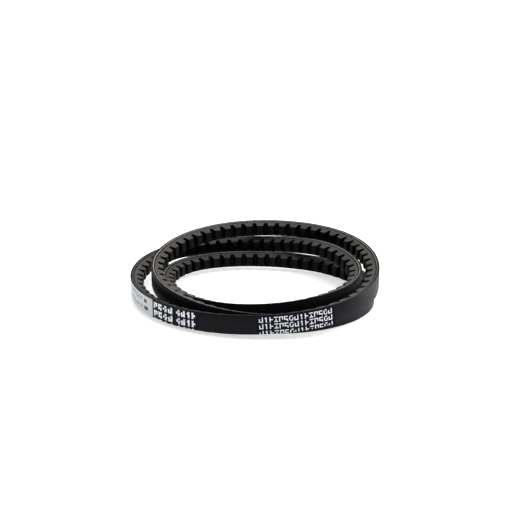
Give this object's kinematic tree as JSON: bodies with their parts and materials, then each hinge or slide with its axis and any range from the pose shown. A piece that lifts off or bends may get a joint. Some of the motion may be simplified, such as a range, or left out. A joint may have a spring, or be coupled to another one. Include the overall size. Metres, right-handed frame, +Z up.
{
  "type": "v belt",
  "caption": "Endless raw-edge cogged V-belt with a tapered section, coiled in stacked turns and lying on its edge, with a blank label on its back.",
  "frame": {"origin": "centre of the coil's box in plan, at the level the coil rests on", "axes": "+X along the coil's longest extent, +Z up, across the width of the belt"},
  "size_m": [0.1768, 0.1686, 0.0356],
  "materials": {
    "back_fabric": "rubberised weave, satin",
    "belt_rubber": "ground, matt",
    "tensile_cord": "twisted polyester",
    "label": "smooth film"
  },
  "bodies": {
    "root": {"back_ply_outer": "back_fabric", "back_ply_inner": "back_fabric", "tension_rubber": "belt_rubber", "tensile_cord_s": "tensile_cord", "tensile_cord_z": "tensile_cord", "adhesion_rubber": "belt_rubber", "compression_rubber": "belt_rubber", "label_film": "label"}
  },
  "joints": []
}
